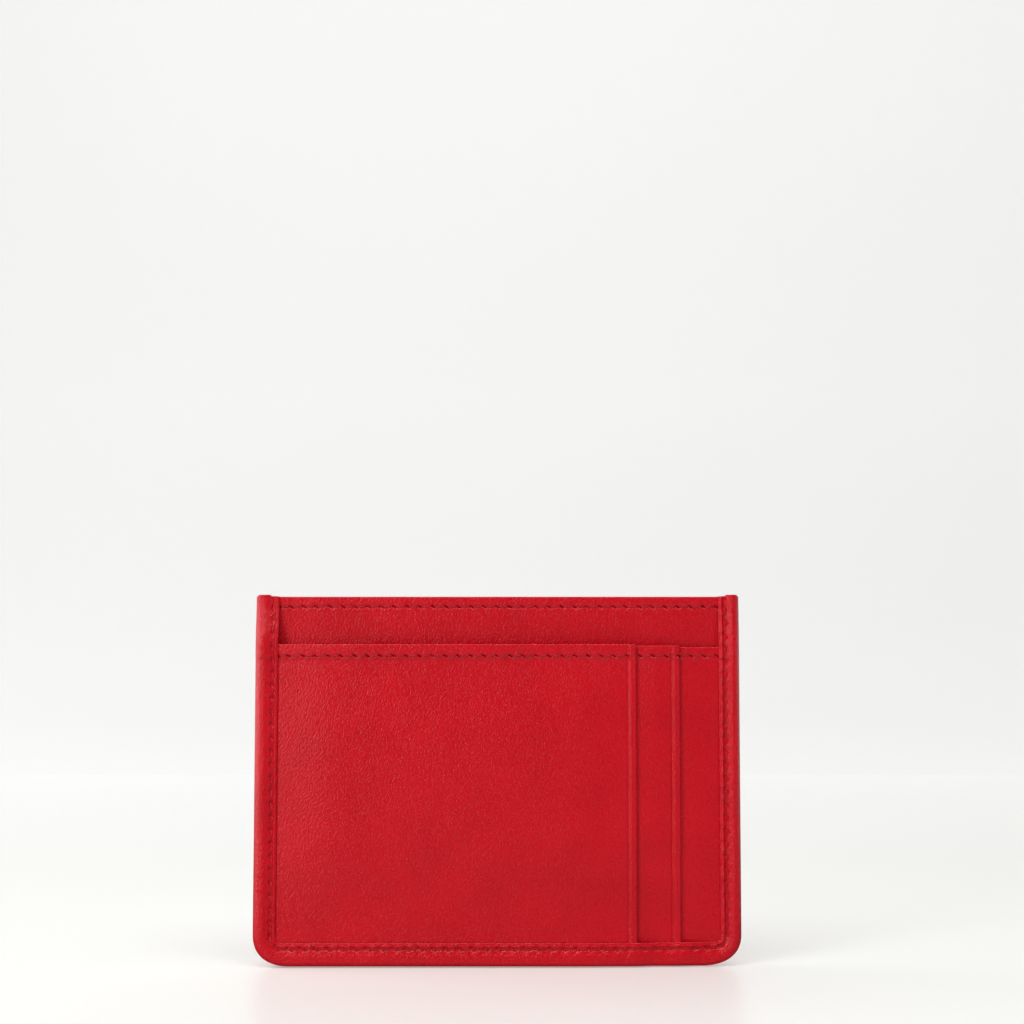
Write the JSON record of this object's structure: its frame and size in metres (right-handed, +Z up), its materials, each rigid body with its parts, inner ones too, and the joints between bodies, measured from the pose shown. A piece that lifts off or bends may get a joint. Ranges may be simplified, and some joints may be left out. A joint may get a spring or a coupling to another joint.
{
  "type": "card holder",
  "caption": "Slim upright leather card holder with a bound edge, two side-opening card slots, a front slip pocket and a top-opening central pocket.",
  "frame": {"origin": "on the surface the holder stands on, under the middle of its box", "axes": "+X to the right as the pocket side is seen, +Z up, -Y out of the pocket side and +Y out of the plain side"},
  "size_m": [0.1, 0.0072, 0.0759],
  "materials": {
    "red_leather": "satin smooth nappa with a fine grain",
    "lining_cloth": "matt woven lining",
    "bonded_board": "matt bonded leather board",
    "red_thread": "satin twisted polyester sewing thread"
  },
  "bodies": {
    "root": {"edge_binding": "red_leather", "front_slot_panel": "red_leather", "middle_slot_panel": "red_leather", "slip_pocket_panel": "red_leather", "centre_panel": "red_leather", "outer_panel": "red_leather", "front_slot_lining": "lining_cloth", "middle_slot_lining": "lining_cloth", "slip_pocket_lining": "lining_cloth", "centre_lining": "lining_cloth", "outer_lining": "lining_cloth", "outer_stiffener": "bonded_board", "front_slot_filler": "bonded_board", "middle_slot_filler": "bonded_board", "slip_pocket_filler": "bonded_board", "main_pocket_filler": "bonded_board", "border_needle_thread": "red_thread", "border_bobbin_thread": "red_thread", "centre_hem_needle_thread": "red_thread", "centre_hem_bobbin_thread": "red_thread", "outer_hem_needle_thread": "red_thread", "outer_hem_bobbin_thread": "red_thread", "pocket_needle_thread": "red_thread", "pocket_bobbin_thread": "red_thread"}
  },
  "joints": []
}
